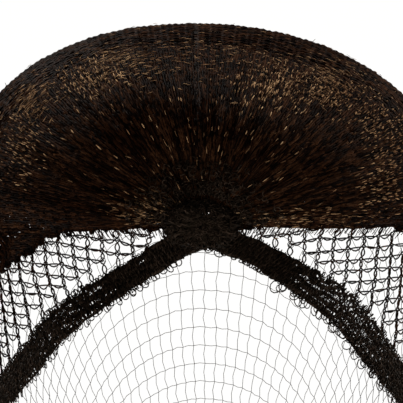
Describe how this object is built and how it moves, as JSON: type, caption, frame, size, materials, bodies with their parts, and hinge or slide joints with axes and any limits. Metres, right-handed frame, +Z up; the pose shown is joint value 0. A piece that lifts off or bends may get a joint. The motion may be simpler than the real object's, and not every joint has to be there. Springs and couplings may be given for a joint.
{
  "type": "knitted hairnet with an elastic band",
  "caption": "Soft knitted net cap with a peaked front gather, open windows at the brow and a curly elastic band round the opening.",
  "frame": {"origin": "under the middle of the crown, where the net sits on the top of what wears it", "axes": "+Z up, -Y towards the peak at the front, +X to the right as seen from the front"},
  "size_m": [0.1932, 0.2118, 0.1823],
  "materials": {
    "net_yarn": "matt knitted yarn with a soft glint",
    "band_yarn": "matt curly elastic knit",
    "gather_yarn": "matt bunched knit"
  },
  "bodies": {
    "root": {"net_crown": "net_yarn", "elastic_band": "band_yarn", "front_gather": "gather_yarn"}
  },
  "joints": []
}
